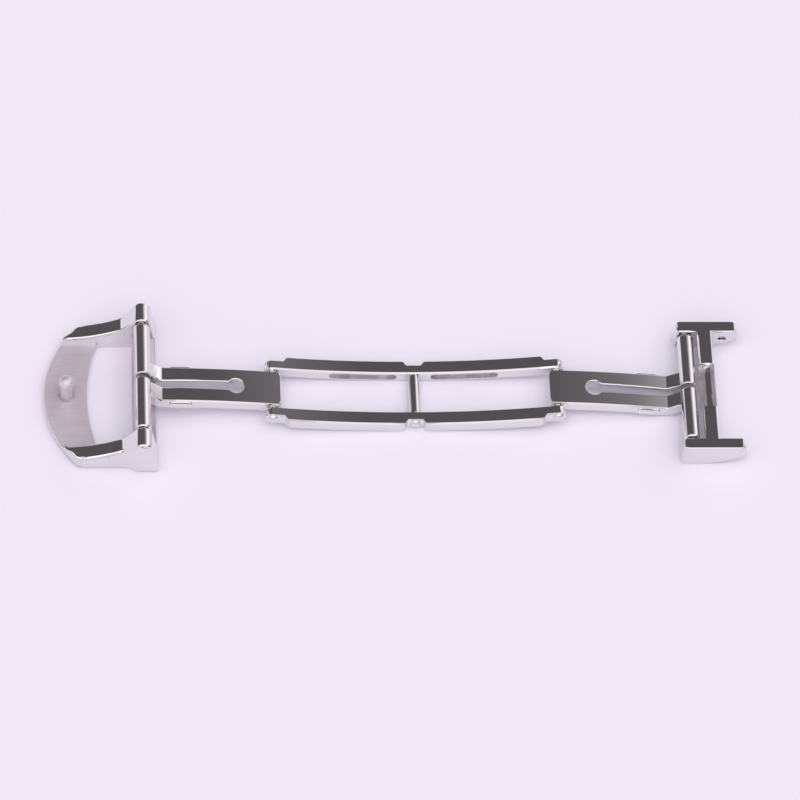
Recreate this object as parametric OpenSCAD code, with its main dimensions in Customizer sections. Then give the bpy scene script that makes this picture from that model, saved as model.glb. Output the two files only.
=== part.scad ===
// Deployant clasp for a leather strap, laid open with its wrist side up.
// Two curved rails form the centre frame. A folding blade turns at each end of it.
// The left blade carries the buckle frame, and the right blade carries the strap end.
// X runs along the clasp, Y across the strap, Z up from the table that it lies on.

/* [Strap] */
// Width of the strap that the clasp takes
strap_w = 18; // [17:0.5:22]
// Room between the strap, or a hinge barrel, and the lugs, both sides together
lug_room = 0.2; // [0.2:0.05:0.5]

/* [Centre frame] */
// Distance between the two blade hinge pins
hinge_span = 41.4; // [38:0.2:46]
// Radius of the wrist curve that rails and blades share
curve_r = 140; // [110:5:200]
// Height of a rail
rail_h = 2.1; // [2:0.05:2.4]
// Thickness of a rail across the strap
rail_t = 2.2; // [2:0.05:2.6]
// Depth of the notches that hold the pin heads
notch_depth = 0.65; // [0.4:0.05:0.9]
// Length of an end notch, inward from its hinge pin
end_notch = 1.85; // [1.4:0.05:2.4]
// Length of the centre notch
mid_notch = 2.4; // [2.2:0.1:3]
// Length along X of the slanted wall at the side of a notch
notch_slant = 0.5; // [0.2:0.1:0.8]
// Distance from the middle of the frame to the near end of a detent pocket
pocket_near = 2.5; // [2:0.1:4]
// Length of a detent pocket
pocket_len = 9.8; // [8.4:0.1:10.6]
// Height of a detent pocket
pocket_h = 1.35; // [1.3:0.05:1.5]
// Depth of a detent pocket
pocket_depth = 0.5; // [0.3:0.05:0.7]

/* [Pins] */
// Diameter of a hinge pin where the blade turns on it
hinge_pin_d = 1.2; // [1:0.05:1.25]
// Diameter of the centre bar between the rails
centre_bar_d = 1.7; // [1.3:0.05:1.8]
// Diameter of the turned-down ends that pass through the rails
rivet_d = 1; // [0.8:0.05:1.1]
// Diameter of a riveted pin head
pin_head_d = 1.65; // [1.4:0.05:1.8]
// Height of a domed pin head
pin_head_h = 0.45; // [0.3:0.05:0.6]
// Diameter of the pins on which the barrels turn in the lugs
barrel_pin_d = 1; // [0.8:0.05:1.2]
// Length of a barrel pin outside its barrel
barrel_pin_out = 1.2; // [1:0.05:1.3]
// Length of a barrel pin inside its barrel
barrel_pin_in = 3; // [2:0.1:5]

/* [Blades] */
// Width of a blade
blade_w = 5.8; // [5.2:0.1:6.4]
// Thickness of a blade
blade_t = 1.9; // [1.7:0.05:1.9]
// Gap between a blade and each rail
blade_gap = 0.35; // [0.3:0.05:0.5]
// Slope of the ramp that leads to the barrel, in degrees
ramp_slope = 40; // [38:1:43]
// Distance of a barrel from the middle of the frame when the clasp is closed
barrel_from_mid = 1.9; // [1.9:0.05:2.1]
// Length of the blade past its hinge pin
blade_tail = 1.2; // [1:0.05:1.5]
// Corner radius of that end, seen from above
tail_corner = 0.5; // [0.3:0.05:0.8]
// Diameter of a barrel
barrel_d = 2.4; // [2.2:0.05:2.5]
// Rounding at the ends of a barrel
barrel_round = 0.35; // [0.2:0.05:0.5]
// Clearance between a closed barrel and the underside of the rails
barrel_gap = 0.1; // [0.1:0.05:0.3]
// Gap between each end of a barrel and the lug beside it
barrel_end_gap = 0.3; // [0.2:0.05:0.5]
// Distance from the hinge pin to the round hole of the keyhole
keyhole_at = 5.25; // [4.8:0.05:7]
// Diameter of that hole
keyhole_d = 2.3; // [1.8:0.1:2.8]
// Width of the slit where it leaves the keyhole
slit_wide = 1.3; // [1:0.05:1.6]
// Width of the slit at the foot of the ramp
slit_mid = 1; // [0.8:0.05:1.2]
// Width of the slit through the barrel
slit_narrow = 0.6; // [0.5:0.05:0.8]
// Length of a detent pad
pad_len = 3.4; // [2.6:0.1:3.6]
// Height of a detent pad
pad_h = 1.1; // [0.8:0.05:1.2]
// How far a detent pad stands out of the blade's side
pad_out = 0.25; // [0.15:0.01:0.27]

/* [Buckle frame] */
// Height of the barrel axis above the buckle's outer face
buckle_axis_h = 5.85; // [5.4:0.05:6.4]
// Radius of the rounded top of a lug
lug_r = 1.35; // [1.3:0.05:1.5]
// Thickness of a buckle lug
lug_t = 3.2; // [2.6:0.1:3.6]
// Thickness of a buckle arm at its narrowest
arm_t = 2.55; // [2:0.05:2.6]
// Distance from the barrel to the outer edge of the crescent plate
plate_out = 14.1; // [13.6:0.1:15]
// Distance from the barrel to the inner edge of the crescent plate
plate_in = 7.9; // [7.5:0.1:8.2]
// Radius of the outer edge of the crescent plate
plate_out_r = 16.5; // [16:0.5:20]
// Radius of the inner edge of the crescent plate
plate_in_r = 28; // [24:1:40]
// Thickness of the crescent plate
plate_t = 1.2; // [1:0.05:1.4]
// Height of the arms at their tips
arm_tip_h = 2.1; // [1.8:0.05:2.4]
// Height of the arms where they meet the lugs
arm_root_h = 4.6; // [4:0.1:4.8]
// Distance from the barrel to the place where arms meet lugs
arm_root_at = 2.7; // [2.6:0.1:3.2]
// Radius of the hollow curve along the top of an arm
arm_sweep_r = 19; // [16:1:30]
// Corner radius of an arm tip, seen from above
tip_corner = 2; // [1.5:0.1:2.5]
// Radius of the hollow flare by which an arm widens to its lug
flare_r = 3.1; // [2.5:0.1:4]
// Corner radius of the strap window
window_corner = 0.6; // [0.3:0.1:1]
// Size of the bevel round the outer face
outer_bevel = 0.4; // [0.2:0.05:0.6]
// Reach of the bridge under the barrel, away from the frame
bridge_left = 1.4; // [1.2:0.1:1.6]
// Reach of the bridge and lugs towards the frame
bridge_right = 2.3; // [2.1:0.05:2.35]
// Height of the bridge
bridge_h = 2.35; // [2:0.05:2.5]
// Rounding under the lugs, at the corner towards the frame
lug_foot_r = 0.7; // [0.4:0.1:1]

/* [Stud] */
// Distance from the barrel to the stud
stud_at = 10.9; // [10.6:0.1:11.4]
// Diameter of the stem
stud_d = 1.7; // [1.5:0.05:1.9]
// Diameter of the ball head
stud_head_d = 2.24; // [2.1:0.02:2.6]
// Height of the stud above the plate
stud_h = 4.65; // [3.6:0.05:4.8]
// Diameter of the counterbore round the stem
stud_sink_d = 2.15; // [2:0.05:2.4]
// Depth of that counterbore
stud_sink_depth = 0.2; // [0.1:0.05:0.4]

/* [Strap end] */
// Height of the barrel axis above the strap end's outer face
end_axis_h = 3; // [2.8:0.05:3.1]
// Thickness of a lug
end_lug_t = 1.9; // [1.7:0.05:2.2]
// Reach of the lugs past the barrel, towards the frame
end_left = 1.3; // [1.2:0.02:1.34]
// Reach of the lugs past the barrel, towards the strap
end_right = 7.45; // [7:0.05:8.5]
// Distance from the barrel to the web
web_at = 1.7; // [1.6:0.02:1.8]
// Width of the web
web_w = 2.15; // [1.9:0.05:2.6]
// Width of the scooped recess in the web
recess_w = 7.4; // [7:0.1:8]
// Depth of that recess at the side towards the frame
recess_depth = 1.4; // [1.3:0.05:1.6]
// Distance from the barrel to the spring bar holes
spring_bar_at = 5.6; // [5.2:0.05:6]
// Depth of the spring bar holes below the top face
spring_bar_down = 1.95; // [1.5:0.05:2]
// Diameter of the spring bar holes
spring_bar_d = 1; // [0.8:0.05:1.2]
// Depth of the spring bar holes into each lug
spring_bar_depth = 1; // [0.8:0.1:1.4]
// Thickness of a lug at its strap end
end_tip_h = 1.9; // [1.5:0.1:2.2]
// How far the end of a lug towards the frame slants out to the outer face
end_slant = 0.33; // [0.1:0.01:0.36]
// How far the strap end of a lug slants out from the top face
end_tip_slant = 0.6; // [0.3:0.05:0.9]
// Distance from the barrel to the place where the belly curve starts
end_belly_at = 1.5; // [0.5:0.1:2.5]

/* [Pose on the table] */
// Tilt of the centre frame, right end up
frame_tilt = 0.55; // [-1:0.05:2]

/* [Fits] */
// Radial clearance between a hinge pin and the bore that turns on it
running_fit = 0.04; // [0.02:0.01:0.08]
// Play between the end of a barrel pin and the bottom of its hole
end_play = 0.1; // [0.05:0.05:0.2]
// Size of the bevels along the polished edges
bevel = 0.2; // [0.1:0.05:0.25]

/* [Hidden] */
$fn = 96;
eps = 0.01;
far = 60;

// Round ends are this much higher than the pocket or the rail that they end
step = 0.04;

// Half widths across the strap
half_blade = blade_w / 2;
half_gap = half_blade + blade_gap;
half_frame = half_gap + rail_t;
half_lugs = (strap_w + lug_room) / 2;
half_barrel = half_lugs - barrel_end_gap;
half_buckle = half_lugs + lug_t;
half_arms = half_lugs + arm_t;
half_end = half_lugs + end_lug_t;

// Wrist curve: height of its centre over the line through the hinge pins
half_span = hinge_span / 2;
curve_up = sqrt(curve_r * curve_r - half_span * half_span);
rail_low_r = curve_r + rail_h / 2;
rail_high_r = curve_r - rail_h / 2;

// Barrel place in the straight blade, from the hinge pin: closed barrels clear the rails
barrel_r = barrel_d / 2;
blade_reach = half_span - barrel_from_mid;
closed_r = rail_low_r + barrel_r + barrel_gap;
barrel_up = sqrt(closed_r * closed_r - barrel_from_mid * barrel_from_mid) - curve_up;
barrel_arm = norm([blade_reach, barrel_up]);
barrel_lift = atan2(barrel_up, blade_reach);

// Pose: the frame's lowest point, the buckle and the strap end all touch the table
frame_z = rail_low_r - curve_up * cos(frame_tilt);
left_pin_z = frame_z - half_span * sin(frame_tilt);
right_pin_z = frame_z + half_span * sin(frame_tilt);
left_rise = asin((buckle_axis_h - left_pin_z) / barrel_arm);
right_rise = asin((end_axis_h - right_pin_z) / barrel_arm);
left_turn = left_rise - barrel_lift;
right_turn = right_rise - barrel_lift;
span_x = half_span * cos(frame_tilt);
left_barrel_x = -span_x - barrel_arm * cos(left_rise);
right_barrel_x = span_x + barrel_arm * cos(right_rise);
left_end_x = left_barrel_x - plate_out;
right_end_x = right_barrel_x + end_right + end_tip_slant;
origin_x = (left_end_x + right_end_x) / 2;
frame_x = -origin_x;

// Straight ramp of a blade: its underside is tangent to the barrel
blade_c = [half_span, -curve_up];
ramp_dir = [cos(ramp_slope), sin(ramp_slope)];
ramp_up = [-sin(ramp_slope), cos(ramp_slope)];
barrel_c = [blade_reach, barrel_up];
ramp_foot = back_to_arc(barrel_c - barrel_r * ramp_up, curve_r - blade_t / 2);
ramp_top = back_to_arc(barrel_c + (blade_t - barrel_r) * ramp_up, curve_r + blade_t / 2);
ramp_len = ramp_dir * (barrel_c - ramp_foot);
pad_mid = half_span - pocket_near - pocket_len / 2;

// Outline of the buckle frame, measured from its barrel axis
plate_out_x = plate_out_r - plate_out;
plate_in_x = plate_in_r - plate_in;
arm_tip_x = plate_out_x - sqrt(plate_out_r * plate_out_r - half_lugs * half_lugs);
arm_root = [-arm_root_at, arm_root_h];
sweep_c = hollow_centre([arm_tip_x, arm_tip_h], arm_root, arm_sweep_r);
pivot_far = half_barrel + barrel_pin_out + end_play;
end_top = end_axis_h + barrel_r;

// Angle on the wrist curve of a place x along the frame, and of a place d along a blade
function frame_angle(x) = 270 + asin(x / curve_r);
function blade_angle(d) = 90 + asin((half_span - d) / curve_r);
function rail_mid_z(x) = curve_up - sqrt(curve_r * curve_r - x * x);

// Point where the line through q, followed back down the ramp, meets a blade arc of radius r
function back_to_arc(q, r) = let (u = ramp_dir * (q - blade_c))
  q + ramp_dir * (sqrt(u * u - (q - blade_c) * (q - blade_c) + r * r) - u);

// Centre of the circle of radius r above the chord from a to b
function hollow_centre(a, b, r) = let (c = (b - a) / norm(b - a), h = norm(b - a) / 2)
  (a + b) / 2 + sqrt(r * r - h * h) * [-c.y, c.x];

// General shapes
module both_sides() {
  for (side = [0, 1]) {
    mirror([0, side, 0]) children();
  }
}

// Sweeps a section of radius and distance from the middle about an axis across the strap
module along_curve(c, a1, a2) {
  translate([c.x, 0, c.y]) rotate([90, 0, 0]) rotate([0, 0, a1])
    rotate_extrude(angle = a2 - a1, $fn = 720) children();
}

module bevelled_section(r1, r2, w1, w2) {
  polygon([
    [r1 + bevel, w1], [r2 - bevel, w1], [r2, w1 + bevel], [r2, w2 - bevel],
    [r2 - bevel, w2], [r1 + bevel, w2], [r1, w2 - bevel], [r1, w1 + bevel]
  ]);
}

module side_prism(points, half_w) {
  rotate([90, 0, 0]) linear_extrude(2 * half_w, center = true) polygon(points);
}

// Cylinder across the strap from distance w1 to w2 on the front side
module cross_pin(x, z, r, w1, w2) {
  translate([x, -w1, z]) rotate([90, 0, 0]) cylinder(r = r, h = w2 - w1);
}

module cross_bar(x, z, r, half_w) {
  cross_pin(x, z, r, -half_w, half_w);
}

// Places in the pose on the table
module place_frame() {
  translate([frame_x, 0, frame_z]) rotate([0, -frame_tilt, 0]) children();
}

module place_left_blade() {
  translate([frame_x - span_x, 0, left_pin_z]) rotate([0, left_turn, 0])
    rotate([0, 0, 180]) children();
}

module place_right_blade() {
  translate([frame_x + span_x, 0, right_pin_z]) rotate([0, -right_turn, 0]) children();
}

// Centre frame
module rail_bar(outer_w, reach) {
  along_curve([0, curve_up], frame_angle(-reach), frame_angle(reach))
    bevelled_section(rail_high_r, rail_low_r, half_gap, outer_w);
}

// What is cut off past the right hinge pin to leave a round, bevelled end
module rail_end_cut() {
  r = rail_h / 2 + step;
  w1 = half_gap + bevel + step;
  w2 = half_frame - notch_depth - bevel - step;
  difference() {
    along_curve([0, curve_up], frame_angle(half_span), frame_angle(half_span + 2 * rail_h))
      translate([curve_r - rail_h, 0]) square([2 * rail_h, half_frame + rail_h]);
    translate([half_span, 0, 0]) rotate([90, 0, 0]) rotate_extrude() polygon([
      [0, w1 - r], [0, w2 + r], [eps, w2 + r - eps], [r, w2], [r, w1], [eps, w1 - r + eps]
    ]);
  }
}

// Room for pin heads where the floor runs from x1 to x2, cut a little deeper than the floor
module notch(x1, x2) {
  deeper = notch_slant / notch_depth * bevel;
  floor_w = half_frame - notch_depth - bevel;
  translate([0, 0, -far / 2]) linear_extrude(far) polygon([
    [x1 - notch_slant, -half_frame - eps], [x1 + deeper, -floor_w],
    [x2 - deeper, -floor_w], [x2 + notch_slant, -half_frame - eps]
  ]);
}

module detent_pocket(x1, x2) {
  along_curve([0, curve_up], frame_angle(x1), frame_angle(x2))
    translate([curve_r - pocket_h / 2 + step, half_gap - eps])
      square([pocket_h - 2 * step, pocket_depth + eps]);
  for (x = [x1, x2]) {
    cross_pin(x, rail_mid_z(x), pocket_h / 2, half_gap - eps, half_gap + pocket_depth);
  }
}

module rail() {
  pocket_1 = pocket_near + pocket_h / 2;
  pocket_2 = pocket_near + pocket_len - pocket_h / 2;
  difference() {
    union() {
      difference() {
        rail_bar(half_frame - notch_depth, half_span + rail_h);
        for (side = [0, 1]) {
          mirror([side, 0, 0]) rail_end_cut();
        }
      }
      difference() {
        rail_bar(half_frame, half_span);
        notch(half_span - end_notch, far);
        notch(-far, end_notch - half_span);
        notch(-mid_notch / 2, mid_notch / 2);
      }
    }
    detent_pocket(pocket_1, pocket_2);
    detent_pocket(-pocket_2, -pocket_1);
    for (x = [-half_span, 0, half_span]) {
      cross_pin(x, x == 0 ? rail_mid_z(0) : 0, rivet_d / 2, 0, far);
    }
  }
}

// Pin whose ends pass through both rails and are riveted into domed heads
module riveted_pin(d) {
  head_at = half_frame - notch_depth;
  dome_r = (pin_head_d * pin_head_d / 4 + pin_head_h * pin_head_h) / (2 * pin_head_h);
  cross_bar(0, 0, d / 2, half_gap);
  cross_bar(0, 0, rivet_d / 2, head_at + eps);
  both_sides() intersection() {
    translate([0, dome_r - pin_head_h - head_at, 0]) sphere(r = dome_r);
    cross_pin(0, 0, pin_head_d, head_at, head_at + pin_head_h + eps);
  }
}

module front_rail() {
  color([0.70, 0.69, 0.72]) place_frame() rail();
}

module rear_rail() {
  color([0.66, 0.65, 0.69]) place_frame() rotate([0, 0, 180]) rail();
}

module centre_bar() {
  color([0.80, 0.79, 0.81]) place_frame() translate([0, 0, rail_mid_z(0)])
    riveted_pin(centre_bar_d);
}

module left_hinge_pin() {
  color([0.80, 0.79, 0.81]) place_frame() translate([-half_span, 0, 0])
    riveted_pin(hinge_pin_d);
}

module right_hinge_pin() {
  color([0.80, 0.79, 0.81]) place_frame() translate([half_span, 0, 0])
    riveted_pin(hinge_pin_d);
}

// Blades, drawn with the hinge pin at the origin and the barrel towards +X
module blade_arc() {
  foot = ramp_foot - blade_c;
  along_curve(blade_c, atan2(foot.y, foot.x), blade_angle(-blade_tail))
    bevelled_section(curve_r - blade_t / 2, curve_r + blade_t / 2, -half_blade, half_blade);
}

module blade_ramp() {
  translate([ramp_foot.x, 0, ramp_foot.y]) rotate([0, -ramp_slope, 0]) rotate([90, 0, 90])
    linear_extrude(ramp_len) mirror([1, 0]) rotate(90)
      bevelled_section(0, blade_t, -half_blade, half_blade);
}

module barrel() {
  translate([barrel_c.x, 0, barrel_c.y]) rotate([90, 0, 0]) rotate_extrude() union() {
    translate([0, barrel_round - half_barrel])
      square([barrel_r, 2 * (half_barrel - barrel_round)]);
    translate([0, -half_barrel]) square([barrel_r - barrel_round, 2 * half_barrel]);
    for (w = [-1, 1]) {
      intersection() {
        translate([barrel_r - barrel_round, w * (half_barrel - barrel_round)])
          circle(barrel_round, $fn = 32);
        square([far, far], center = true);
      }
    }
  }
}

module detent_pad() {
  reach = (pad_len - pad_h) / 2;
  along_curve(blade_c, blade_angle(pad_mid + reach), blade_angle(pad_mid - reach))
    translate([curve_r - pad_h / 2, half_blade - eps]) square([pad_h, pad_out + eps]);
  for (d = [pad_mid - reach, pad_mid + reach]) {
    cross_pin(d, -rail_mid_z(half_span - d), pad_h / 2, half_blade - eps, half_blade + pad_out);
  }
}

module tail_corner_cut() {
  x = tail_corner - blade_tail;
  w = tail_corner - half_blade;
  difference() {
    translate([x - far, w - far, -far / 2]) cube([far, far, far]);
    translate([x, w, -far / 2 - eps]) cylinder(r = tail_corner, h = far + 2 * eps);
  }
}

// The slit lets the two legs of a blade spring past the rails
module slit() {
  end = barrel_c.x + barrel_r + eps;
  translate([keyhole_at, 0, -far / 2]) cylinder(d = keyhole_d, h = far);
  translate([0, 0, -far / 2]) linear_extrude(far) polygon([
    [keyhole_at, -slit_wide / 2], [ramp_top.x, -slit_mid / 2],
    [barrel_c.x, -slit_narrow / 2], [end, -slit_narrow / 2],
    [end, slit_narrow / 2], [barrel_c.x, slit_narrow / 2],
    [ramp_top.x, slit_mid / 2], [keyhole_at, slit_wide / 2]
  ]);
}

module blade() {
  difference() {
    union() {
      blade_arc();
      blade_ramp();
      barrel();
      both_sides() detent_pad();
    }
    slit();
    both_sides() tail_corner_cut();
    cross_bar(0, 0, hinge_pin_d / 2 + running_fit, far);
    both_sides() cross_pin(barrel_c.x, barrel_c.y, barrel_pin_d / 2, half_barrel - barrel_pin_in, far);
  }
}

// Pin pressed into the end of a barrel
module barrel_pin() {
  cross_pin(barrel_c.x, barrel_c.y, barrel_pin_d / 2, half_barrel - barrel_pin_in,
    half_barrel + barrel_pin_out);
}

module left_blade() {
  color([0.74, 0.73, 0.76]) place_left_blade() blade();
}

module left_front_barrel_pin() {
  color([0.62, 0.62, 0.65]) place_left_blade() mirror([0, 1, 0]) barrel_pin();
}

module left_rear_barrel_pin() {
  color([0.62, 0.62, 0.65]) place_left_blade() barrel_pin();
}

module right_blade() {
  color([0.74, 0.73, 0.76]) place_right_blade() blade();
}

module right_front_barrel_pin() {
  color([0.62, 0.62, 0.65]) place_right_blade() barrel_pin();
}

module right_rear_barrel_pin() {
  color([0.62, 0.62, 0.65]) place_right_blade() mirror([0, 1, 0]) barrel_pin();
}

// Buckle frame, drawn with the barrel axis over the origin
module buckle_side() {
  dome = [0, buckle_axis_h];
  foot = [bridge_right - lug_foot_r, lug_foot_r];
  down = foot - dome;
  lean = atan2(down.y, down.x) + acos((lug_r - lug_foot_r) / norm(down));
  back = arm_root - dome;
  rise = atan2(back.y, back.x) - acos(lug_r / norm(back));
  cross_bar(dome.x, dome.y, lug_r, half_buckle);
  cross_bar(foot.x, foot.y, lug_foot_r, half_buckle);
  difference() {
    side_prism([
      dome + lug_r * [cos(lean), sin(lean)], foot + lug_foot_r * [cos(lean), sin(lean)],
      [foot.x, 0], [-far, 0], [-far, arm_tip_h], [arm_tip_x, arm_tip_h],
      arm_root, dome + lug_r * [cos(rise), sin(rise)], dome
    ], half_buckle);
    difference() {
      cross_bar(sweep_c.x, sweep_c.y, arm_sweep_r, far);
      translate([-arm_root_at, -far, -far]) cube(2 * far);
    }
  }
}

// Upright disc with the outer bevel at its foot
module bevelled_disc(x, y, r) {
  translate([x, y, 0]) {
    cylinder(r1 = r - outer_bevel, r2 = r, h = outer_bevel);
    translate([0, 0, outer_bevel]) cylinder(r = r, h = far);
  }
}

module bevelled_strip(x1, x2, half_w) {
  translate([x1, 0, 0]) rotate([90, 0, 90]) linear_extrude(x2 - x1) polygon([
    [outer_bevel - half_w, 0], [half_w - outer_bevel, 0], [half_w, outer_bevel],
    [half_w, far], [-half_w, far], [-half_w, outer_bevel]
  ]);
}

// Corner between a straight side at distance w and the arc of radius r round [x, 0].
// The child is the round that stays
module side_corner(x, r, w, corner_r) {
  in_r = r - corner_r;
  in_w = w - corner_r;
  centre = [x - sqrt(in_r * in_r - in_w * in_w), in_w];
  reach = 3 * corner_r;
  difference() {
    translate([0, 0, -far]) linear_extrude(3 * far) polygon([
      centre, centre + [0, reach], centre + [-reach, reach],
      centre + (centre - [x, 0]) * reach / in_r
    ]);
    translate(centre) children();
  }
}

module buckle_outline() {
  difference() {
    intersection() {
      bevelled_disc(plate_out_x, 0, plate_out_r);
      bevelled_strip(-far, -arm_root_at, half_arms);
    }
    both_sides() side_corner(plate_out_x, plate_out_r, half_arms, tip_corner)
      bevelled_disc(0, 0, tip_corner + eps);
  }
  difference() {
    bevelled_strip(-arm_root_at, far, half_buckle);
    both_sides() translate([-arm_root_at, half_arms + flare_r, -eps])
      cylinder(r = flare_r, h = far);
  }
}

// Strap window between the bridge and the crescent plate, with rounded corners
module strap_window() {
  translate([0, 0, -eps]) difference() {
    intersection() {
      translate([plate_in_x, 0, 0]) cylinder(r = plate_in_r, h = far, $fn = 240);
      translate([-far, -half_lugs, 0]) cube([far - bridge_left, 2 * half_lugs, far]);
    }
    both_sides() side_corner(plate_in_x, plate_in_r, half_lugs, window_corner)
      cylinder(r = window_corner + eps, h = far);
  }
}

module buckle() {
  difference() {
    intersection() {
      buckle_side();
      buckle_outline();
    }
    strap_window();
    translate([-far - bridge_left, -half_lugs, plate_t]) cube([far, 2 * half_lugs, far]);
    translate([-far / 2, -half_lugs, bridge_h]) cube([far, 2 * half_lugs, far]);
    both_sides() cross_pin(0, buckle_axis_h, barrel_pin_d / 2 + running_fit, half_lugs - eps, pivot_far);
    translate([-stud_at, 0, -eps]) cylinder(d = stud_d, h = far);
    translate([-stud_at, 0, plate_t - stud_sink_depth]) cylinder(d = stud_sink_d, h = far);
  }
}

module buckle_frame() {
  color([0.60, 0.57, 0.60]) translate([frame_x + left_barrel_x, 0, 0]) buckle();
}

module strap_stud() {
  head_r = stud_head_d / 2;
  color([0.78, 0.77, 0.79]) translate([frame_x + left_barrel_x - stud_at, 0, 0]) {
    cylinder(d = stud_d, h = plate_t + stud_h - head_r);
    translate([0, 0, plate_t + stud_h - head_r]) sphere(r = head_r);
  }
}

// Strap end, drawn with the barrel axis over the origin
module end_lugs_and_web() {
  tip = [end_right + end_tip_slant, end_top - end_tip_h];
  run = tip.x - end_belly_at;
  belly_r = (run * run + tip.y * tip.y) / (2 * tip.y);
  intersection() {
    side_prism([
      [-end_left - end_slant, 0], [tip.x, 0], tip, [end_right, end_top], [-end_left, end_top]
    ], half_end);
    union() {
      cross_bar(end_belly_at, belly_r, belly_r, far, $fn = 240);
      translate([end_belly_at - far, -far, 0]) cube([far, 2 * far, far]);
    }
  }
}

module strap_end_body() {
  recess_r = (web_w * web_w + recess_depth * recess_depth) / (2 * recess_depth);
  difference() {
    end_lugs_and_web();
    translate([web_at - far, -half_lugs, -eps]) cube([far, 2 * half_lugs, far]);
    translate([web_at + web_w, -half_lugs, -eps]) cube([far, 2 * half_lugs, far]);
    cross_bar(web_at, end_top - recess_depth + recess_r, recess_r, recess_w / 2);
    both_sides() cross_pin(0, end_axis_h, barrel_pin_d / 2 + running_fit, half_lugs - eps, pivot_far);
    both_sides() cross_pin(spring_bar_at, end_top - spring_bar_down, spring_bar_d / 2,
      half_lugs - eps, half_lugs + spring_bar_depth);
  }
}

module strap_end() {
  color([0.68, 0.66, 0.69]) translate([frame_x + right_barrel_x, 0, 0]) strap_end_body();
}

front_rail();
rear_rail();
centre_bar();
left_hinge_pin();
right_hinge_pin();
left_blade();
left_front_barrel_pin();
left_rear_barrel_pin();
right_blade();
right_front_barrel_pin();
right_rear_barrel_pin();
buckle_frame();
strap_stud();
strap_end();
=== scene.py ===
import math

import bmesh
import bpy
from mathutils import Matrix, Vector


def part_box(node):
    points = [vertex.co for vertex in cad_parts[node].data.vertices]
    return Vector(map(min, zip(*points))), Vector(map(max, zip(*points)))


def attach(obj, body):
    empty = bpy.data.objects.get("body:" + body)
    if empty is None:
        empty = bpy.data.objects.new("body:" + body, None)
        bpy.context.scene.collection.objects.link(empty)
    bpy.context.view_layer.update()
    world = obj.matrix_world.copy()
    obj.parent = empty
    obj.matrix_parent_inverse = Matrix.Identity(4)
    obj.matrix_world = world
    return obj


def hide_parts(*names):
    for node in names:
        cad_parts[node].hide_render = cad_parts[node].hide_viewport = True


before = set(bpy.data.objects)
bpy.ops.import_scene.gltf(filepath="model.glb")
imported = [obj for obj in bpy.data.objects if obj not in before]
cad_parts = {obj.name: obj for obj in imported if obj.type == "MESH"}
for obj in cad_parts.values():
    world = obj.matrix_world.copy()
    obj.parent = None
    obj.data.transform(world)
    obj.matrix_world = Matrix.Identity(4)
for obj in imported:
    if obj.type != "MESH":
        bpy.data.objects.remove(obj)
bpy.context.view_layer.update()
mm = 0.001
skin = 0.02 * mm   # places closer than this count as one
print("frame loaded")


# Shader maths: one class round a socket, one method that makes nodes

class Sock:
    def __init__(self, graph, socket):
        self.graph, self.socket = graph, socket

    def math(self, operation, other, flip=False):
        pair = (other, self) if flip else (self, other)
        return self.graph.add("ShaderNodeMath", {"operation": operation}, dict(enumerate(pair)))

    def __add__(self, other):
        return self.math("ADD", other)

    def __radd__(self, other):
        return self.math("ADD", other)

    def __sub__(self, other):
        return self.math("SUBTRACT", other)

    def __rsub__(self, other):
        return self.math("SUBTRACT", other, flip=True)

    def __mul__(self, other):
        return self.math("MULTIPLY", other)

    def __rmul__(self, other):
        return self.math("MULTIPLY", other)


class Graph:
    def __init__(self, tree):
        self.tree = tree
        tree.nodes.clear()

    def add(self, kind, settings=None, values=None, out=0):
        node = self.tree.nodes.new(kind)
        for name, value in (settings or {}).items():
            setattr(node, name, value)
        for name, value in (values or {}).items():
            if isinstance(value, Sock):
                self.tree.links.new(value.socket, node.inputs[name])
            else:
                node.inputs[name].default_value = value
        return Sock(self, node.outputs[out]) if node.outputs else None


def newMaterial(name):
    material = bpy.data.materials.new(name)
    material.use_nodes = True
    return material, Graph(material.node_tree)


# Steel finishes

polish = {
    "colour": (0.80, 0.785, 0.79, 1),
    "roughness": 0.055,
    "smear": 0.05,        # how much the shine varies from handling
    "smearScale": 260,
    "wave": 0.0035 * mm,  # height of the slight unevenness that a polishing wheel leaves
    "waveScale": 420,
    "lineHeight": 0.0006 * mm,
    "linesAcross": 5200,  # hairlines per metre, across and along the clasp
    "linesAlong": 240,
}

satin = {
    "colour": (0.715, 0.65, 0.725, 1),
    "metallic": 0.45,
    "roughness": 0.42,
    "grain": 0.16,
    "tone": 0.3,          # how much lighter and darker grain and patches are
    "patches": 0.6,       # share of soft patches in that
    "patchScale": 170,
    "grainAcross": 5200,  # grain lines per metre, across and along the brushing
    "grainAlong": 220,
    "grainHeight": 0.0025 * mm,
}

blast = {
    **satin,
    "colour": (0.73, 0.68, 0.70, 1),
    "metallic": 0.6,
    "roughness": 0.48,
    "grain": 0.06,
    "tone": 0.08,
}

# Milled steel for the rail pockets and the strap end's recess: a milled finish, whose colour is
# also darker than the polish as painted shade in those hollows
millAndShade = {
    **satin,
    "colour": (0.60, 0.56, 0.59, 1),
    "metallic": 0.7,
    "roughness": 0.4,
    "tone": 0.6,
    "patches": 0.8,
    "patchScale": 700,
}


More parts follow.
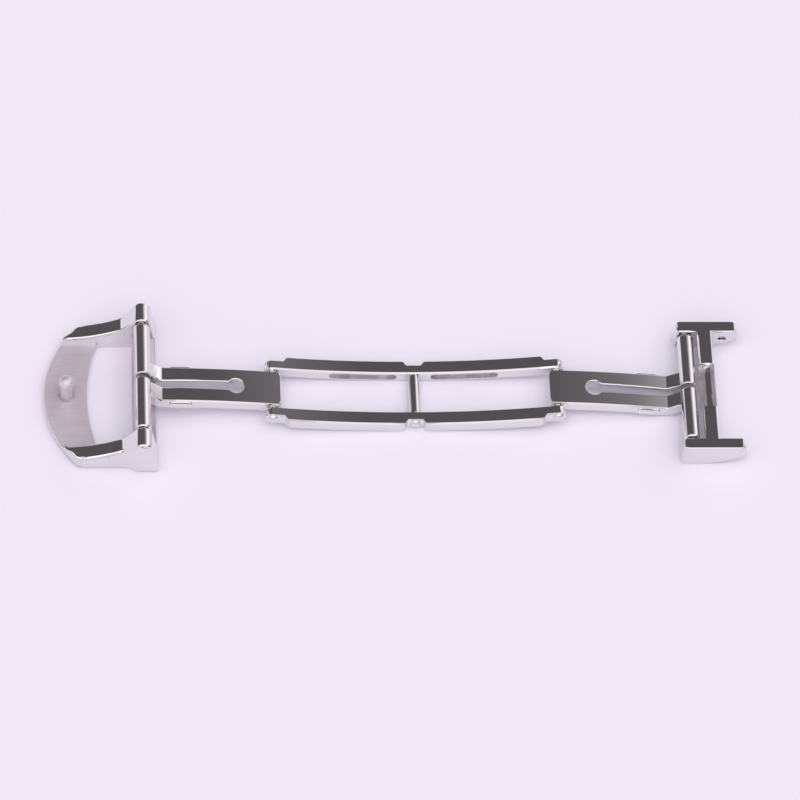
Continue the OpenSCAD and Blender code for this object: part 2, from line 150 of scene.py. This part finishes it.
def polishedSteel(name, v):
    material, g = newMaterial(name)
    place = g.add("ShaderNodeTexCoord", out=3)
    smear = g.add("ShaderNodeTexNoise", None,
                  {"Vector": place, "Scale": v["smearScale"], "Detail": 4, "Roughness": 0.6})
    wave = g.add("ShaderNodeTexNoise", None,
                 {"Vector": place, "Scale": v["waveScale"], "Detail": 1, "Roughness": 0.4})
    drawn = g.add("ShaderNodeMapping", None, {"Vector": place, "Scale": (
        v["linesAlong"], v["linesAcross"], v["linesAcross"])})
    lines = g.add("ShaderNodeTexNoise", None,
                  {"Vector": drawn, "Scale": 1, "Detail": 2, "Roughness": 0.6})
    wavy = g.add("ShaderNodeBump", None,
                 {"Strength": 1, "Distance": v["wave"], "Height": wave})
    normal = g.add("ShaderNodeBump", None, {"Strength": 1, "Distance": v["lineHeight"],
                                            "Height": lines, "Normal": wavy})
    shader = g.add("ShaderNodeBsdfPrincipled", None, {
        "Base Color": v["colour"], "Metallic": 1,
        "Roughness": v["roughness"] + (smear - 0.5) * v["smear"], "Normal": normal})
    g.add("ShaderNodeOutputMaterial", None, {"Surface": shader})
    return material


def satinSteel(name, v):
    material, g = newMaterial(name)
    place = g.add("ShaderNodeTexCoord", out=3)
    drawn = g.add("ShaderNodeMapping", None, {"Vector": place, "Scale": (
        v["grainAlong"], v["grainAcross"], v["grainAcross"])})
    grain = g.add("ShaderNodeTexNoise", None,
                  {"Vector": drawn, "Scale": 1, "Detail": 3, "Roughness": 0.65})
    patch = g.add("ShaderNodeTexNoise", None,
                  {"Vector": place, "Scale": v["patchScale"], "Detail": 2})
    light, dark = [tuple(c * (1 + s * v["tone"]) for c in v["colour"][:3]) + (1,)
                   for s in (1, -1)]
    uneven = grain * (1 - v["patches"]) + patch * v["patches"]
    colour = g.add("ShaderNodeMix", {"data_type": "RGBA"},
                   {0: uneven, 6: dark, 7: light}, out=2)
    normal = g.add("ShaderNodeBump", None,
                   {"Strength": 1, "Distance": v["grainHeight"], "Height": grain})
    shader = g.add("ShaderNodeBsdfPrincipled", None, {
        "Base Color": colour, "Metallic": v["metallic"],
        "Roughness": v["roughness"] + (grain - 0.5) * v["grain"], "Normal": normal})
    g.add("ShaderNodeOutputMaterial", None, {"Surface": shader})
    return material


polished = polishedSteel("polishedSteel", polish)
brushed = satinSteel("satinSteel", satin)
blasted = satinSteel("blastedSteel", blast)
milledAndShaded = satinSteel("milledSteelAndPaintedShade", millAndShade)
print("finishes made")


# Tools for the pieces

cleaning = {
    "doubles": 0.0002 * mm,      # points closer than this are merged
    "shortest": 0.002 * mm,      # edges shorter than this vanish
    "sliver": 0.005 * mm,        # faces thinner than this join a neighbour
    "flat": math.radians(0.6),   # faces that differ by less become one
}

# Parts of a face's normal by which its slant is judged
slant = {
    "none": 0.02,         # below this it doesn't face that way at all
    "some": 0.05,         # and above this it does
    "upright": 0.3,       # upward part of an upright face, at most
    "steep": 0.35,
    "fairlyLevel": 0.7,   # upward part of such a face, at least
    "level": 0.9,
    "flat": 0.98,
}


def selectOnly(obj):
    bpy.ops.object.select_all(action="DESELECT")
    obj.select_set(True)
    bpy.context.view_layer.objects.active = obj


# Selects the edges or faces of an object in edit mode that pass the test, and tells how many
def choose(obj, kind, test):
    bpy.ops.mesh.select_mode(type=kind)
    bpy.ops.mesh.select_all(action="DESELECT")
    mesh = bmesh.from_edit_mesh(obj.data)
    chosen = [part for part in (mesh.faces if kind == "FACE" else mesh.edges) if test(part)]
    for part in chosen:
        part.select_set(True)
    bmesh.update_edit_mesh(obj.data)
    return len(chosen)


# Merges faces thinner than a hair into the neighbour on their longest side
def mergeSlivers(obj, thinnest):
    def widest(face):
        return max(face.edges, key=lambda edge: edge.calc_length())

    def besideSliver(edge):
        return any(2 * face.calc_area() < thinnest * edge.calc_length() and widest(face) == edge
                   for face in edge.link_faces)

    if choose(obj, "EDGE", besideSliver):
        bpy.ops.mesh.dissolve_edges(use_verts=False)


# A copy of a CAD node as one closed mesh, left in edit mode
def closedCopy(name, node):
    obj = bpy.data.objects.new(name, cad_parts[node].data.copy())
    bpy.context.scene.collection.objects.link(obj)
    obj.data.materials.clear()
    selectOnly(obj)
    bpy.ops.object.mode_set(mode="EDIT")
    bpy.ops.mesh.select_all(action="SELECT")
    bpy.ops.mesh.remove_doubles(threshold=cleaning["doubles"])
    bpy.ops.mesh.dissolve_degenerate(threshold=cleaning["shortest"])
    bpy.ops.mesh.dissolve_limited(angle_limit=cleaning["flat"])
    mergeSlivers(obj, cleaning["sliver"])
    return obj


# Rounds the outer edges of an object in edit mode, each by its own share of the width
def roundEdges(obj, width, segments, share, sharpest=math.radians(30)):
    mesh = bmesh.from_edit_mesh(obj.data)
    layers = mesh.edges.layers.float
    weight = layers.get("bevel_weight_edge") or layers.new("bevel_weight_edge")
    for edge in mesh.edges:
        edge[weight] = 0
        if len(edge.link_faces) == 2 and edge.calc_face_angle_signed() > sharpest:
            middle = (edge.verts[0].co + edge.verts[1].co) / 2
            edge[weight] = share(middle, [face.normal for face in edge.link_faces])
    bmesh.update_edit_mesh(obj.data)
    bpy.ops.object.mode_set(mode="OBJECT")
    rounding = obj.modifiers.new("rounding", "BEVEL")
    rounding.limit_method, rounding.use_clamp_overlap = "WEIGHT", False
    rounding.width, rounding.segments = width, segments
    bpy.ops.object.modifier_apply(modifier="rounding")
    bpy.ops.object.mode_set(mode="EDIT")


# Brings corners that a rounding has pushed out of the CAD solid back to its surface
def keepInside(obj, node):
    bpy.ops.object.mode_set(mode="OBJECT")
    wrap = obj.modifiers.new("keepInside", "SHRINKWRAP")
    wrap.target, wrap.wrap_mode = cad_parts[node], "INSIDE"
    bpy.ops.object.modifier_apply(modifier="keepInside")
    bpy.ops.object.mode_set(mode="EDIT")


# Makes the near half of an object in edit mode the mirror image of its far half
def mirrorFar(obj):
    bpy.ops.mesh.select_all(action="SELECT")
    bpy.ops.mesh.bisect(plane_co=(0, 0, 0), plane_no=(0, 1, 0), clear_inner=True)
    bpy.ops.object.mode_set(mode="OBJECT")
    mirror = obj.modifiers.new("nearHalf", "MIRROR")
    mirror.use_axis, mirror.merge_threshold = (False, True, False), 1e-6
    bpy.ops.object.modifier_apply(modifier="nearHalf")
    bpy.ops.object.mode_set(mode="EDIT")
    bpy.ops.mesh.select_all(action="SELECT")
    bpy.ops.mesh.normals_make_consistent(inside=False)


# Cuts the faces that pass the test along level planes, so that a rounding can fade out there
def sliceLevels(obj, heights, test):
    for height in heights:
        choose(obj, "FACE", lambda face: test(face.calc_center_median(), face.normal))
        bpy.ops.mesh.bisect(plane_co=(0, 0, height), plane_no=(0, 0, 1))


# Gives the faces that pass the test the object's second material
def finishFaces(obj, test):
    mesh = bmesh.from_edit_mesh(obj.data)
    for face in mesh.faces:
        if test(face.calc_center_median(), face.normal):
            face.material_index = 1
    bmesh.update_edit_mesh(obj.data)


def smoothPiece(obj, angle=32):
    bpy.ops.object.mode_set(mode="OBJECT")
    selectOnly(obj)
    bpy.ops.object.shade_smooth_by_angle(angle=math.radians(angle))
    weighted = obj.modifiers.new("flatFaces", "WEIGHTED_NORMAL")
    weighted.mode, weighted.weight, weighted.keep_sharp = "FACE_AREA", 80, True
    bpy.ops.object.modifier_apply(modifier="flatFaces")


# Shades the long curved faces as the true arc that they follow; a hollow arc's radius is negative
def trueArc(obj, radius, broadArea=1e-6, closeTo=0.9995):
    mesh = obj.data
    broad = [f for f in mesh.polygons if f.normal.z > slant["flat"] and f.area > broadArea]
    centre = sum((f.center - f.normal * radius for f in broad), Vector()) / len(broad)
    normals = [corner.vector.copy() for corner in mesh.corner_normals]
    for face in mesh.polygons:
        for corner in face.loop_indices:
            out = mesh.vertices[mesh.loops[corner].vertex_index].co - centre
            out.y = 0
            out.normalize()
            along = face.normal.dot(out)
            if abs(along) > closeTo:
                normals[corner] = out * math.copysign(1, along)
    mesh.normals_split_custom_set(normals)


def fit(obj, node, body):
    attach(obj, body)
    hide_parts(node)


# A round piece turned about an axis across or up, grown ring by ring from its first end
def turnedPiece(name, start, axis, rings, material, sides=64):
    bpy.ops.object.select_all(action="DESELECT")
    first = rings[0]
    turn = (0, 0, 0) if axis.z else (math.radians(90), 0, 0)
    bpy.ops.mesh.primitive_circle_add(vertices=sides, radius=first[1], fill_type="NGON",
                                      location=start + axis * first[0], rotation=turn)
    obj = bpy.context.active_object
    obj.name = name
    obj.data.materials.append(material)
    bpy.ops.object.transform_apply(location=True, rotation=True, scale=True)
    bpy.ops.object.mode_set(mode="EDIT")
    bpy.ops.mesh.select_all(action="SELECT")
    for (where, radius), (whereNext, radiusNext) in zip(rings, rings[1:]):
        bpy.ops.mesh.extrude_region_move(
            TRANSFORM_OT_translate={"value": axis * (whereNext - where)})
        bpy.ops.transform.resize(value=(radiusNext / radius,) * 3,
                                 center_override=start + axis * whereNext)
    bpy.ops.mesh.select_all(action="SELECT")
    bpy.ops.mesh.normals_make_consistent(inside=False)
    smoothPiece(obj)
    return obj


# Rings of a low dome that stands on a circle
def domeRings(base, radius, height, steps):
    ballR = (radius ** 2 + height ** 2) / (2 * height)
    edge = math.asin(radius / ballR)
    angles = [edge * (1 - i / steps) for i in range(steps)]
    return [(base + ballR * (math.cos(a) - math.cos(edge)), ballR * math.sin(a)) for a in angles]


# Middle and size of a node's box
def boxMiddle(node):
    low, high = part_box(node)
    return (low + high) / 2, high - low


# Rails

rail = {
    "topRadius": -138.95 * mm,   # hollow upwards
    "innerSide": 3.25 * mm,      # half the distance between the rails
    "pocketDepth": 0.5 * mm,
    "pocketFrom": 2.4 * mm,      # the pockets lie between these distances from the centre bar
    "pocketTo": 12.4 * mm,
    "bevelFrom": 0.3,            # by how far the rail's bevelled edges face sideways
    "bevelTo": 0.95,
    "smooth": 24,                # edges sharper than this, in degrees, stay crisp
}


def dressRail(end, v):
    bar = boxMiddle("centre_bar")[0]
    obj = closedCopy(end + "Rail", end + "_rail")
    for material in (polished, milledAndShaded):
        obj.data.materials.append(material)

    def inPocket(place, normal):
        depth = abs(place.y) - v["innerSide"]
        offBar = v["pocketFrom"] < abs(place.x - bar.x) < v["pocketTo"]
        square = not v["bevelFrom"] < abs(normal.y) < v["bevelTo"]
        return offBar and square and skin < depth < v["pocketDepth"] + skin

    # The pockets take the milled steel, whose darker colour is partly painted shade inside them
    finishFaces(obj, inPocket)
    smoothPiece(obj, v["smooth"])
    trueArc(obj, v["topRadius"])
    fit(obj, end + "_rail", "centre_frame")


for end in ("front", "rear"):
    dressRail(end, rail)
print("rails dressed")


# Pins and centre bar: turned, with domed rivet heads in the notches of the rails

pin = {
    "barR": 0.85 * mm,
    "hingeR": 0.6 * mm,
    "shankR": 0.5 * mm,
    "headR": 0.825 * mm,
    "headH": 0.45 * mm,
    "shoulder": 3.25 * mm,   # half the distance between the rails
    "edge": 0.06 * mm,
    "tip": 0.1 * mm,         # radius of the flat that the punch leaves on a head
    "domeSteps": 8,
}


def rivetedPin(name, node, radius, v):
    middle, size = boxMiddle(node)
    half = size.y / 2
    headAt = half - v["headH"]
    dome = domeRings(headAt, v["headR"], v["headH"], v["domeSteps"])
    head = [(headAt, v["shankR"])] + dome + [(half, v["tip"])]
    shank = [(v["shoulder"] - v["edge"], radius), (v["shoulder"], radius - v["edge"]),
             (v["shoulder"], v["shankR"])]
    outer = shank + head
    rings = [(-where, r) for where, r in reversed(outer)] + outer
    obj = turnedPiece(name, middle, Vector((0, 1, 0)), rings, polished)
    fit(obj, node, "centre_frame")


rivetedPin("centreBar", "centre_bar", pin["barR"], pin)
for side in ("left", "right"):
    rivetedPin(side + "HingePin", side + "_hinge_pin", pin["hingeR"], pin)
print("riveted pins turned")


# Blades, and the pins in the ends of their barrels

blade = {
    "topRadius": 140.95 * mm,
    "edge": 0.22 * mm,        # rounding of the slit, the keyhole and the tail
    "slitHalf": 0.45 * mm,    # half the slit's width at the barrel, and a little more
    "flatHalf": 2.85 * mm,    # half the blade's width, less a little
    "sharp": math.radians(45),
    "edgeSegments": 3,
    "smooth": 30,
    "pinBevel": 0.12 * mm,
    "pinSides": 48,
}


def dressBlade(side, v):
    obj = closedCopy(side + "Blade", side + "_blade")
    obj.data.materials.append(polished)

    def openEdge(place, normals):
        level, wall = [pick(abs(n.z) for n in normals) for pick in (max, min)]
        ofTop = level > slant["fairlyLevel"] and wall < slant["upright"]
        onFlat = ofTop and abs(place.y) < v["flatHalf"]
        return 1 if onFlat or abs(place.y) < v["slitHalf"] else 0

    roundEdges(obj, v["edge"], v["edgeSegments"], openEdge, v["sharp"])
    smoothPiece(obj, v["smooth"])
    trueArc(obj, v["topRadius"])
    fit(obj, side + "_blade", side + "_blade_body")
    for end in ("front", "rear"):
        node = side + "_" + end + "_barrel_pin"
        middle, size = boxMiddle(node)
        half, radius, cut = size.y / 2, size.z / 2, v["pinBevel"]
        rings = [(-half, radius - cut), (cut - half, radius), (half - cut, radius),
                 (half, radius - cut)]
        shortPin = turnedPiece(side + end.title() + "BarrelPin", middle, Vector((0, 1, 0)),
                               rings, polished, v["pinSides"])
        fit(shortPin, node, side + "_blade_body")


for side in ("left", "right"):
    dressBlade(side, blade)
print("blades dressed")


# Buckle frame: soft polished edges on the arms and lugs, satin plate

buckle = {
    "softEdge": 0.62 * mm,
    "softSegments": 6,
    "innerShare": 0.7,        # share of that rounding on the inner sides
    "innerTo": 10 * mm,
    "lugShare": 0.6,          # and on the lugs; it grows along the first part of the arms
    "growFrom": 1.3 * mm,
    "growTo": 4.5 * mm,
    "armsFrom": 8.9 * mm,     # half the width inside the arms, less a little
    "tipFrom": 8.6 * mm,      # from the barrel axis to where the outline turns to the tips
    "tipTo": 10.8 * mm,       # and to where their rounding ends
    "footFrom": 0.9 * mm,     # the rounding grows over this height on the lugs' outer ends
    "footTo": 2.9 * mm,
    "footSteps": 6,
    "bore": 0.8 * mm,         # the edges of the pin bores inside this radius stay crisp
    "plateTop": 1.2 * mm,
    "plateRise": 0.25 * mm,   # its satin faces lie within this height of its top
    "plateEdge": 0.15 * mm,
    "plateSegments": 2,
    "plateSharp": math.radians(50),
    "abovePlate": 1.32 * mm,
    "bridgeTop": 2.35 * mm,
    "bridgeRise": 0.1 * mm,
    "smooth": 40,
}


def dressBuckle(v):
    barrelAxis = boxMiddle("left_front_barrel_pin")[0]
    obj = closedCopy("buckleFrame", "buckle_frame")
    for material in (polished, brushed):
        obj.data.materials.append(material)

    def softShare(place, normals):
        top = min(abs(n.y) for n in normals) < slant["none"]
        side = any(abs(n.y) > slant["some"] and abs(n.z) < slant["upright"] for n in normals)
        offBore = math.hypot(place.x - barrelAxis.x, place.z - barrelAxis.z) > v["bore"]
        if not (top and side and offBore and abs(place.y) > v["armsFrom"]):
            return 0
        behind = barrelAxis.x - place.x
        grown = min(1, max(0, (behind - v["growFrom"]) / (v["growTo"] - v["growFrom"])))
        whole = v["lugShare"] + (1 - v["lugShare"]) * grown
        if abs(place.y) < v["innerTo"]:
            whole *= v["innerShare"]
        if behind > 0:
            return whole if behind < v["tipTo"] and place.z > v["abovePlate"] else 0
        return whole * min(1, max(0, (place.z - v["footFrom"]) / (v["footTo"] - v["footFrom"])))

    def crispEdge(place, normals):
        flat = any(abs(n.z) > slant["flat"] for n in normals)
        return flat and abs(place.z - v["plateTop"]) < skin

    def tipTop(face):
        place = face.calc_center_median()
        atTip = place.x < barrelAxis.x - v["tipFrom"] and abs(place.y) > v["armsFrom"]
        return atTip and face.normal.z > slant["level"] and place.z > v["abovePlate"]

    # One face on top of each tip, so that the rounding follows the outline
    choose(obj, "FACE", tipTop)
    bpy.ops.mesh.dissolve_faces()
    rise = (v["footTo"] - v["footFrom"]) / v["footSteps"]
    heights = [v["footFrom"] + rise * i for i in range(v["footSteps"] + 1)]
    sliceLevels(obj, heights, lambda place, normal: place.x > barrelAxis.x + v["bore"])
    roundEdges(obj, v["softEdge"], v["softSegments"], softShare)
    keepInside(obj, "buckle_frame")
    roundEdges(obj, v["plateEdge"], v["plateSegments"], crispEdge, v["plateSharp"])
    mirrorFar(obj)

    def brushedFace(place, normal):
        plate = abs(place.z - v["plateTop"]) < v["plateRise"]
        bridge = abs(place.z - v["bridgeTop"]) < v["bridgeRise"] and place.x > barrelAxis.x
        return normal.z > slant["level"] and (plate or bridge)

    finishFaces(obj, brushedFace)
    smoothPiece(obj, v["smooth"])
    fit(obj, "buckle_frame", "buckle_body")


dressBuckle(buckle)
print("buckle frame dressed")


# Stud: stem and ball head

studShape = {
    "stemR": 0.85 * mm,
    "ballR": 1.12 * mm,
    "ballSteps": 20,
}


def turnStud(v):
    low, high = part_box("strap_stud")
    middle = (low + high) / 2
    ballAt = high.z - v["ballR"]
    under = math.pi - math.asin(v["stemR"] / v["ballR"])
    angles = [under * (1 - i / v["ballSteps"]) for i in range(v["ballSteps"])]
    ball = [(ballAt + v["ballR"] * math.cos(a), v["ballR"] * math.sin(a)) for a in angles]
    obj = turnedPiece("strapStud", Vector((middle.x, middle.y, 0)), Vector((0, 0, 1)),
                      [(low.z, v["stemR"])] + ball, blasted)
    fit(obj, "strap_stud", "buckle_body")


turnStud(studShape)
print("stud turned")


# Strap end

strapEnd = {
    "corner": 0.55 * mm,      # rounding of the lugs' upright corners
    "cornerSegments": 5,
    "edge": 0.26 * mm,        # and of all other edges but those of the recess
    "edgeSegments": 4,
    "sharp": math.radians(40),
    "lugsFrom": 9 * mm,
    "recessHalf": 3.8 * mm,
    "recessTop": 4.15 * mm,
    "recessLevel": 0.4,       # the upward part of its faces' normals is above this
    "riseFrom": -0.35,        # and the lengthwise part of those of its rise between these
    "riseTo": -0.7,
    "smooth": 30,
}


def dressStrapEnd(v):
    obj = closedCopy("strapEnd", "strap_end")
    for material in (polished, milledAndShaded):
        obj.data.materials.append(material)

    def lugCorner(place, normals):
        return abs(place.y) > v["lugsFrom"] and max(abs(n.z) for n in normals) < slant["steep"]

    def outsideRecess(place, normals):
        return abs(place.y) > v["recessHalf"]

    roundEdges(obj, v["corner"], v["cornerSegments"], lugCorner)
    roundEdges(obj, v["edge"], v["edgeSegments"], outsideRecess, v["sharp"])
    keepInside(obj, "strap_end")

    # The scoop of the recess is milled, its darker colour partly painted shade in the hollow, but
    # for its polished rise
    def inScoop(place, normal):
        inside = place.z < v["recessTop"] and abs(place.y) < v["recessHalf"]
        onRise = v["riseTo"] < normal.x < v["riseFrom"]
        return normal.z > v["recessLevel"] and inside and not onRise

    finishFaces(obj, inScoop)
    smoothPiece(obj, v["smooth"])
    fit(obj, "strap_end", "strap_end_body")


dressStrapEnd(strapEnd)
print("strap end dressed")


# Floor, light and camera

studio = {
    "pale": (0.860, 0.820, 0.927, 1),   # the colour of the table as seen
    "floorGlow": 0.1,                   # share of the floor that is seen without shadow
    "dark": (0.105, 0.097, 0.106, 1),   # unlit side of the room
    "white": (1, 0.955, 0.98, 1),
    "whiteLevel": 1.35,
    "rightFrom": 0.15,     # the room is lit on the right and behind the camera
    "rightFull": 0.75,
    "dimFrom": 0.70,       # far to the right it is a little dimmer again
    "dimFull": 0.84,
    "dimming": 0.72,
    "nearFrom": -0.03,
    "nearFull": 0.14,
    "lowFrom": 0.26,       # close above the table it is lit all round
    "lowFull": 0.10,
    "lowShare": 0.75,
    "beltFrom": 0.62,      # the near light is weaker at half height
    "beltFull": 0.42,
    "beltShare": 0.6,
    "ragged": 0.28,        # how uneven the edge of the light is
    "raggedScale": 3.2,
    "lampPower": 3.3,
    "lampHeight": 0.9,
    "lampSize": 0.9,
    "floorSize": 6,
    "floorAt": -0.02 * mm,
}


def studioWorld(v):
    world = bpy.data.worlds.new("studio")
    bpy.context.scene.world = world
    world.use_nodes = True
    g = Graph(world.node_tree)
    direction = g.add("ShaderNodeTexCoord", out=0)
    noise = g.add("ShaderNodeTexNoise", None,
                  {"Vector": direction, "Scale": v["raggedScale"], "Detail": 2})
    shift = (noise - 0.5) * v["ragged"]
    toRight, away, height = [
        g.add("ShaderNodeSeparateXYZ", None, {"Vector": direction}, out=i) for i in range(3)]
    right = toRight + shift
    near = away * -1 + shift
    lit, nearLit, dimmed = [
        g.add("ShaderNodeMapRange", {"interpolation_type": "SMOOTHSTEP"},
              {"Value": value, "From Min": v[key + "From"], "From Max": v[key + "Full"]})
        for key, value in (("right", right), ("near", near), ("dim", right))]
    low, belt = [g.add("ShaderNodeMapRange", {"interpolation_type": "SMOOTHSTEP"}, {
        "Value": height, "From Min": v[key + "From"], "From Max": v[key + "Full"],
        "To Max": v[key + "Share"]}) for key in ("low", "belt")]
    light = lit.math("MAXIMUM", nearLit).math("MAXIMUM", low)
    colour = g.add("ShaderNodeMix", {"data_type": "RGBA"},
                   {0: light, 6: v["dark"], 7: v["white"]}, out=2)
    level = 1 + light * (v["whiteLevel"] - 1) - dimmed * v["dimming"] - nearLit * belt
    sky = g.add("ShaderNodeBackground", None, {"Color": colour, "Strength": level})
    seen = g.add("ShaderNodeBackground", None, {"Color": v["pale"], "Strength": 1})
    camera = g.add("ShaderNodeLightPath", out=0)
    both = g.add("ShaderNodeMixShader", None, {0: camera, 1: sky, 2: seen})
    g.add("ShaderNodeOutputWorld", None, {"Surface": both})


def paleFloor(v):
    bpy.ops.object.select_all(action="DESELECT")
    bpy.ops.mesh.primitive_plane_add(size=v["floorSize"], location=(0, 0, v["floorAt"]))
    floor = bpy.context.active_object
    floor.name = "tableTop"
    material, g = newMaterial("paleTable")
    matt = g.add("ShaderNodeBsdfPrincipled", None, {
        "Base Color": v["pale"], "Roughness": 0.9, "Specular IOR Level": 0})
    glow = g.add("ShaderNodeEmission", None, {"Color": v["pale"], "Strength": 1})
    rays = [g.add("ShaderNodeLightPath", out=name) for name in (
        "Is Camera Ray", "Is Glossy Ray", "Is Transmission Ray")]
    seen = rays[0].math("MAXIMUM", rays[1]).math("MAXIMUM", rays[2]) * v["floorGlow"]
    both = g.add("ShaderNodeMixShader", None, {0: seen, 1: matt, 2: glow})
    g.add("ShaderNodeOutputMaterial", None, {"Surface": both})
    floor.data.materials.append(material)


def softLamp(v):
    lamp = bpy.data.lights.new("softLamp", "AREA")
    lamp.energy, lamp.size = v["lampPower"], v["lampSize"]
    obj = bpy.data.objects.new("softLamp", lamp)
    obj.location = (0, 0, v["lampHeight"])
    obj.visible_glossy = False
    bpy.context.scene.collection.objects.link(obj)


# The camera looks steeply down on the clasp, which lies turned and a little askew in the view
view = {
    "height": math.radians(57.45),
    "turn": math.radians(7.49),
    "roll": math.radians(6.28),
    "distance": 0.85,
    "lens": 263,
    "clipStart": 0.05,
    "aim": -2.02 * mm,     # along the clasp from the middle of the centre frame
}


def photoCamera(v):
    aim = Vector((boxMiddle("centre_bar")[0].x + v["aim"], 0, 0))
    away = Vector((-math.cos(v["height"]) * math.sin(v["turn"]),
                   -math.cos(v["height"]) * math.cos(v["turn"]), math.sin(v["height"])))
    camera = bpy.data.cameras.new("photoCamera")
    camera.lens, camera.clip_start = v["lens"], v["clipStart"]
    obj = bpy.data.objects.new("photoCamera", camera)
    look = away.to_track_quat("Z", "Y").to_matrix().to_4x4()
    obj.matrix_world = (Matrix.Translation(aim + away * v["distance"]) @ look
                        @ Matrix.Rotation(v["roll"], 4, "Z"))
    bpy.context.scene.collection.objects.link(obj)
    bpy.context.scene.camera = obj


studioWorld(studio)
paleFloor(studio)
softLamp(studio)
photoCamera(view)
bpy.context.scene.view_settings.view_transform = "Standard"
print("stage set")
